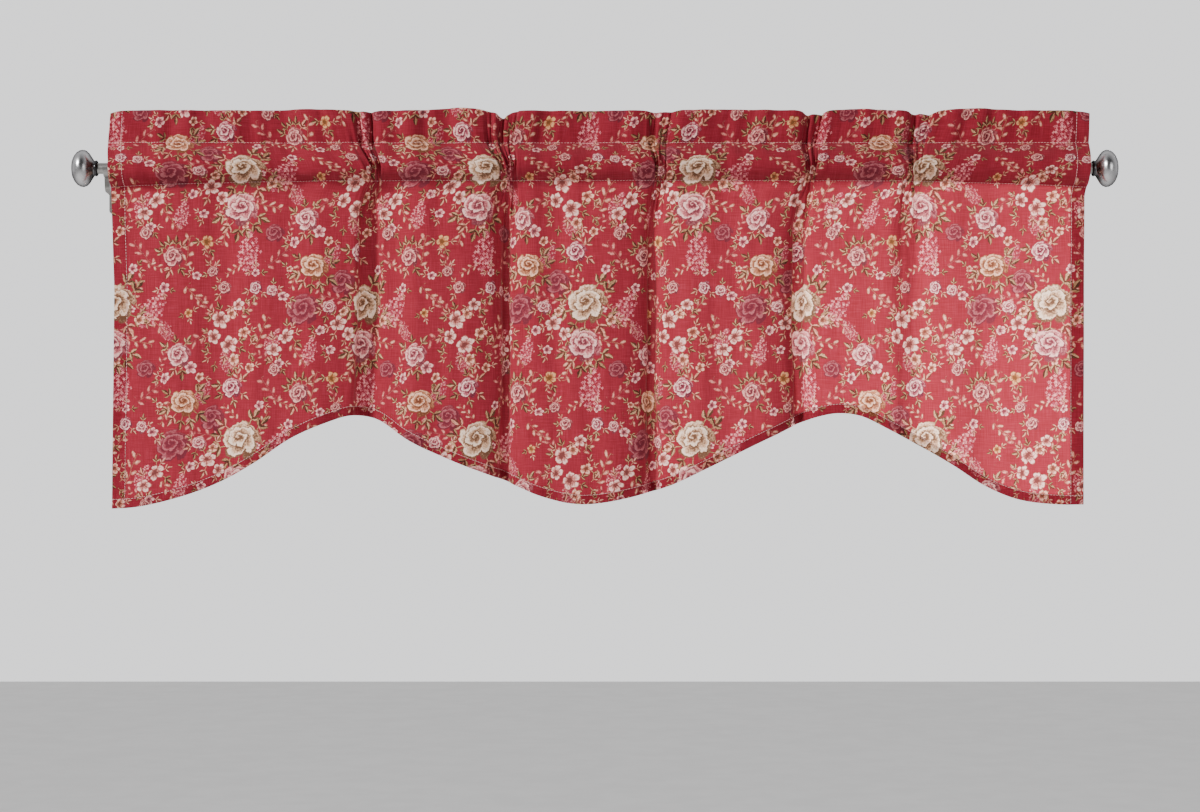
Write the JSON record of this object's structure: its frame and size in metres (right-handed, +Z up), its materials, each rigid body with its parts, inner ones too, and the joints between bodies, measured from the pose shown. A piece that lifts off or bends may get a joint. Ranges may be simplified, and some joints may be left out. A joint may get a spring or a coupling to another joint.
{
  "type": "window valance and rod",
  "caption": "Scalloped cotton window valance with a heading and rod pocket, gathered on a round rod with knob finials, held out from the wall by two brackets.",
  "frame": {"origin": "centre of the left bracket's wall plate, on the face that meets the wall", "axes": "+X along the rod to the right as seen from the room, +Y towards the wall, +Z up"},
  "size_m": [1.2284, 0.1, 0.4659],
  "materials": {
    "cloth": "printed plain-weave cotton",
    "rod": "satin nickel",
    "finial": "polished antique silver",
    "bracket": "satin nickel"
  },
  "bodies": {
    "root": {"valance": "cloth", "rod": "rod", "finial_left": "finial", "finial_right": "finial", "bracket_left": "bracket", "bracket_right": "bracket"}
  },
  "joints": []
}
